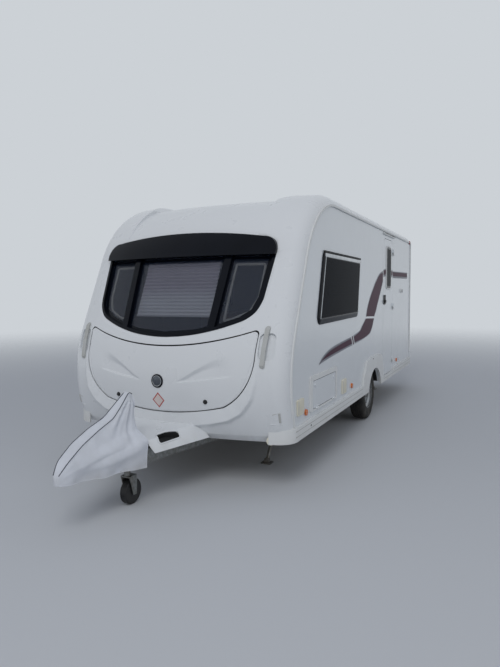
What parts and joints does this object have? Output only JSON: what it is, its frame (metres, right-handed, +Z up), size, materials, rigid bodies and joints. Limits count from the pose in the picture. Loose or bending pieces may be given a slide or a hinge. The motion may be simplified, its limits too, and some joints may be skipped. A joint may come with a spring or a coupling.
{
  "type": "single-axle touring caravan",
  "caption": "Touring caravan with a bowed front, opening door and lockers, road wheels, jockey wheel, corner steadies and a cloth cover over its hitch.",
  "frame": {"origin": "on the ground at the middle of the whole length and width", "axes": "+X towards the entrance door's side, -Y towards the tow hitch, +Z up"},
  "size_m": [2.24, 7.11, 2.598],
  "materials": {
    "body_white": "gloss moulded panel",
    "side_white": "painted sandwich panel",
    "roof_white": "fibreglass-faced sandwich panel",
    "board": "light wood-faced board",
    "upholstery": "woven grey-brown cloth",
    "trim_white": "satin plastic trim",
    "dark_gloss": "dark gloss moulding",
    "window": "tinted acrylic",
    "galvanised": "galvanised steel",
    "cast": "dark cast and painted steel",
    "tyre_rubber": "road tyre",
    "alloy": "satin alloy",
    "plywood": "coated board",
    "cloth": "coated grey-white cloth",
    "grey_plastic": "grey plastic",
    "cream_plastic": "aged cream plastic",
    "black_plastic": "black plastic",
    "amber": "amber lens",
    "red_lens": "red lens"
  },
  "bodies": {
    "caravan": {"front_panel": "body_white", "rear_panel": "body_white", "roof_panel": "roof_white", "side_wall_door": "side_white", "side_wall_far": "side_white", "floor": "plywood", "front_locker_box": "plywood", "lid_hinges": "galvanised", "front_window_surround": "dark_gloss", "front_window_centre": "window", "front_window_door_side": "window", "front_window_far_side": "window", "side_window_door": "window", "side_windows_far": "window", "rear_window": "window", "door_hinges": "trim_white", "side_locker_frame": "trim_white", "skirt_door_side": "trim_white", "skirt_far_side": "trim_white", "rear_bumper": "body_white", "rear_lamps": "red_lens", "side_lamps": "amber", "awning_rails": "trim_white", "wheel_boxes": "black_plastic", "chassis_frame": "galvanised", "axle": "galvanised", "swing_arms": "cast", "steady_brackets": "galvanised", "coupling_head": "cast", "overrun_housing": "cast", "handbrake_lever": "cast", "jockey_clamp": "galvanised", "drawbar_fairing": "body_white", "hitch_cover": "cloth", "grab_handles": "grey_plastic", "rooflights": "body_white", "seat_bases": "board", "seat_cushions": "upholstery", "front_chest": "board", "kitchen_unit": "board", "side_fittings": "cream_plastic", "far_hatches": "trim_white"},
    "wheel_door_side": {"tyre_door_side": "tyre_rubber", "rim_door_side": "alloy"},
    "wheel_far_side": {"tyre_far_side": "tyre_rubber", "rim_far_side": "alloy"},
    "front_lid": {"locker_lid": "body_white"},
    "door": {"entrance_door": "side_white", "door_window": "window", "door_handle": "black_plastic"},
    "side_locker": {"side_locker_door": "side_white"},
    "jockey_slide": {"jockey_tube": "galvanised"},
    "jockey_swivel": {"jockey_fork": "galvanised"},
    "jockey_roller": {"jockey_wheel": "grey_plastic"},
    "steady_front_door": {"steady_front_door_side": "galvanised"},
    "steady_front_far": {"steady_front_far_side": "galvanised"},
    "steady_rear_door": {"steady_rear_door_side": "galvanised"},
    "steady_rear_far": {"steady_rear_far_side": "galvanised"}
  },
  "joints": [
    {"name": "wheel_door_side_spin", "type": "hinge", "parent": "caravan", "child": "wheel_door_side", "pos_m": [0.945, 0.76, 0.325], "axis": [1, 0, 0], "continuous": true},
    {"name": "wheel_far_side_spin", "type": "hinge", "parent": "caravan", "child": "wheel_far_side", "pos_m": [-0.945, 0.76, 0.325], "axis": [1, 0, 0], "continuous": true},
    {"name": "front_lid_hinge", "type": "hinge", "parent": "caravan", "child": "front_lid", "pos_m": [0, -2.205, 1.335], "axis": [-1, 0, 0], "range_deg": [0, 70]},
    {"name": "entrance_door_hinge", "type": "hinge", "parent": "caravan", "child": "door", "pos_m": [1.111, 1.913, 1.4], "axis": [0, 0, 1], "range_deg": [0, 160]},
    {"name": "side_locker_hinge", "type": "hinge", "parent": "caravan", "child": "side_locker", "pos_m": [1.112, -1.28, 0.597], "axis": [0, 1, 0], "range_deg": [0, 110]},
    {"name": "jockey_raise", "type": "slide", "parent": "caravan", "child": "jockey_slide", "axis": [0, 0, 1], "range_m": [0, 0.11]},
    {"name": "jockey_turn", "type": "hinge", "parent": "jockey_slide", "child": "jockey_swivel", "pos_m": [0.03, -2.87, 0.232], "axis": [0, 0, 1], "continuous": true},
    {"name": "jockey_roll", "type": "hinge", "parent": "jockey_swivel", "child": "jockey_roller", "pos_m": [0.03, -2.832, 0.1], "axis": [1, 0, 0], "continuous": true},
    {"name": "steady_front_door_fold", "type": "hinge", "parent": "caravan", "child": "steady_front_door", "pos_m": [0.59, -1.23, 0.392], "axis": [-1, 0, 0], "range_deg": [0, 55]},
    {"name": "steady_front_far_fold", "type": "hinge", "parent": "caravan", "child": "steady_front_far", "pos_m": [-0.59, -1.23, 0.392], "axis": [-1, 0, 0], "range_deg": [0, 55]},
    {"name": "steady_rear_door_fold", "type": "hinge", "parent": "caravan", "child": "steady_rear_door", "pos_m": [0.59, 2.7, 0.392], "axis": [1, 0, 0], "range_deg": [0, 55]},
    {"name": "steady_rear_far_fold", "type": "hinge", "parent": "caravan", "child": "steady_rear_far", "pos_m": [-0.59, 2.7, 0.392], "axis": [1, 0, 0], "range_deg": [0, 55]}
  ]
}
